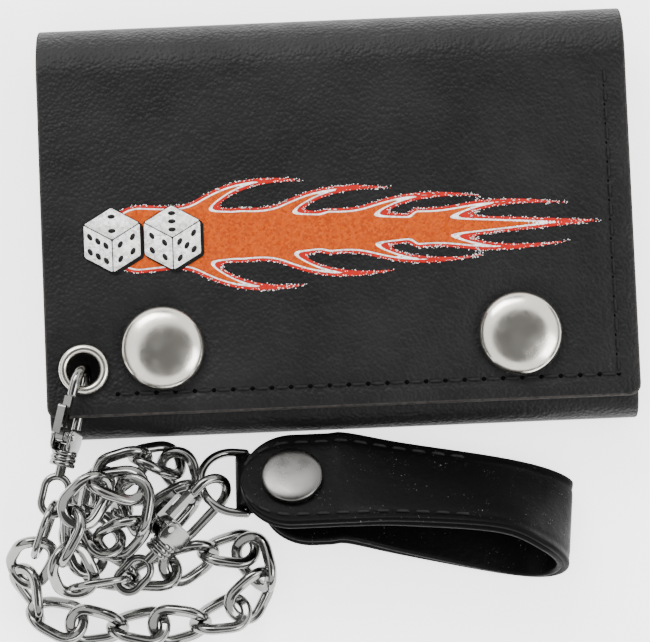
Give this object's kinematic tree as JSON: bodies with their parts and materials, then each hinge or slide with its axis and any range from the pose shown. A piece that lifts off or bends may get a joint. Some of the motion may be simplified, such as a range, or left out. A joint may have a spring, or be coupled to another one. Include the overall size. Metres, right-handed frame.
{
  "type": "chain wallet",
  "caption": "Trifold leather wallet closed by snaps on its front flap, with an eyelet, a link chain with trigger clasps at both ends, and a belt loop that snaps shut.",
  "frame": {"origin": "middle of the closed wallet's back, at the surface that it lies on", "axes": "+X along the folds towards the stitched side of the flap, +Y up the wallet towards the top fold, +Z out through the front flap"},
  "size_m": [0.1174, 0.1141, 0.0222],
  "materials": {
    "wallet_leather": "satin pebbled grain",
    "lining_leather": "matte fine grain",
    "strap_leather": "glossy smooth",
    "clear_vinyl": "clear flexible film",
    "thread": "twisted nylon",
    "polished_nickel": "polished warm nickel",
    "plated_steel": "plain plated",
    "chain_steel": "polished nickel plate",
    "flame_orange": "printed transfer film",
    "dice_white": "printed glitter film"
  },
  "bodies": {
    "back": {"back_leather": "wallet_leather", "back_lining": "lining_leather", "card_pocket_rear": "lining_leather", "card_pocket_middle": "lining_leather", "card_pocket_front": "lining_leather", "top_fold": "wallet_leather", "bottom_fold": "wallet_leather"},
    "flap": {"flap_leather": "wallet_leather", "flap_lining": "lining_leather", "id_window_frame": "lining_leather", "id_window": "clear_vinyl", "flap_stitching": "thread", "snap_cap_left": "polished_nickel", "snap_cap_right": "polished_nickel", "snap_socket_left": "plated_steel", "snap_socket_right": "plated_steel", "eyelet": "polished_nickel", "eyelet_washer": "plated_steel", "wallet_clasp_hook": "chain_steel", "wallet_clasp_pin": "chain_steel", "wallet_clasp_spring": "chain_steel", "chain_links": "chain_steel", "belt_clasp_hook": "chain_steel", "belt_clasp_pin": "chain_steel", "belt_clasp_spring": "chain_steel", "d_ring": "chain_steel", "d_ring_keeper": "strap_leather", "strap_base": "strap_leather", "strap_bend": "strap_leather", "strap_snap_stud": "plated_steel", "strap_snap_post": "plated_steel"},
    "tuck": {"tuck_leather": "wallet_leather", "tuck_lining": "lining_leather", "tuck_pocket": "lining_leather", "snap_stud_left": "plated_steel", "snap_stud_right": "plated_steel", "snap_post_left": "plated_steel", "snap_post_right": "plated_steel"},
    "wallet_gate": {"wallet_clasp_gate": "chain_steel"},
    "wallet_swivel": {"wallet_clasp_swivel": "chain_steel"},
    "belt_gate": {"belt_clasp_gate": "chain_steel"},
    "belt_swivel": {"belt_clasp_swivel": "chain_steel"},
    "strap_tab": {"strap_tab": "strap_leather", "strap_snap_cap": "polished_nickel", "strap_snap_socket": "plated_steel", "strap_stitching": "thread"}
  },
  "joints": [
    {"name": "flap_fold", "type": "hinge", "parent": "back", "child": "flap", "pos_m": [0, 0.04356, 0.00975], "axis": [-1, 0, 0], "range_deg": [0, 183.5], "deforming": ["top_fold"]},
    {"name": "tuck_fold", "type": "hinge", "parent": "back", "child": "tuck", "pos_m": [0, -0.04097, 0.0052], "axis": [1, 0, 0], "range_deg": [0, 180], "deforming": ["bottom_fold"]},
    {"name": "wallet_clasp_gate_pivot", "type": "hinge", "parent": "flap", "child": "wallet_gate", "pos_m": [-0.05089, -0.03845, 0.01826], "axis": [-0.9448, 0.2654, -0.1921], "range_deg": [0, 13], "stiffness_Nm_per_rad": 0.002, "springref_deg": -5.73},
    {"name": "wallet_clasp_swivel_turn", "type": "hinge", "parent": "flap", "child": "wallet_swivel", "pos_m": [-0.05127, -0.04219, 0.01494], "axis": [-0.2588, -0.9641, -0.059], "range_deg": [-12, 12]},
    {"name": "belt_clasp_gate_pivot", "type": "hinge", "parent": "flap", "child": "belt_gate", "pos_m": [-0.03331, -0.05465, 0.01272], "axis": [-0.5079, 0.5744, -0.6419], "range_deg": [0, 13], "stiffness_Nm_per_rad": 0.002, "springref_deg": -5.73},
    {"name": "belt_clasp_swivel_turn", "type": "hinge", "parent": "flap", "child": "belt_swivel", "pos_m": [-0.03461, -0.05872, 0.01011], "axis": [-0.7184, -0.6937, -0.0523], "range_deg": [-12, 12]},
    {"name": "strap_tab_fold", "type": "hinge", "parent": "flap", "child": "strap_tab", "pos_m": [0.033, -0.0555, 0.0085], "axis": [0, 0.9326, -0.361], "range_deg": [0, 100], "deforming": ["strap_bend"]}
  ],
  "couplings": [
    {"joint": "tuck_fold", "follows": "flap_fold", "ratio": 0.98}
  ]
}
